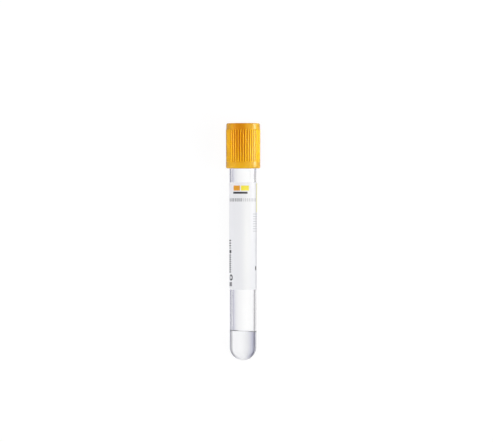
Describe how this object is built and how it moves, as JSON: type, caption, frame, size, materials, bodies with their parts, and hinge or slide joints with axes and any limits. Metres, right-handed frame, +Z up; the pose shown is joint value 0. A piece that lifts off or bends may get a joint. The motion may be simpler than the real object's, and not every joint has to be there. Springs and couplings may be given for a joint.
{
  "type": "blood collection tube",
  "caption": "Clear round-ended tube with a paper label, a plug of separator gel in its end, and a ribbed yellow pull-off cap over a rubber stopper.",
  "frame": {"origin": "on the surface that the tube lies on, under the middle of its length and width", "axes": "+Z up from the surface, +Y along the lying tube towards the cap, +X across it; the tube's own axis rises 1.2 degrees towards the cap, because the cap is wider than the tube"},
  "size_m": [0.0156, 0.1072, 0.0159],
  "materials": {
    "clear_plastic": "polished",
    "gel": "satin",
    "label_paper": "satin",
    "stopper_rubber": "matte",
    "cap_plastic": "gloss"
  },
  "bodies": {
    "tube_body": {"tube": "clear_plastic", "separator_gel": "gel", "label": "label_paper"},
    "closure": {"cap": "cap_plastic", "stopper": "stopper_rubber"}
  },
  "joints": [
    {"name": "closure_pull", "type": "slide", "parent": "tube_body", "child": "closure", "axis": [0, 0.9998, 0.0211], "range_m": [0, 0.02]}
  ]
}
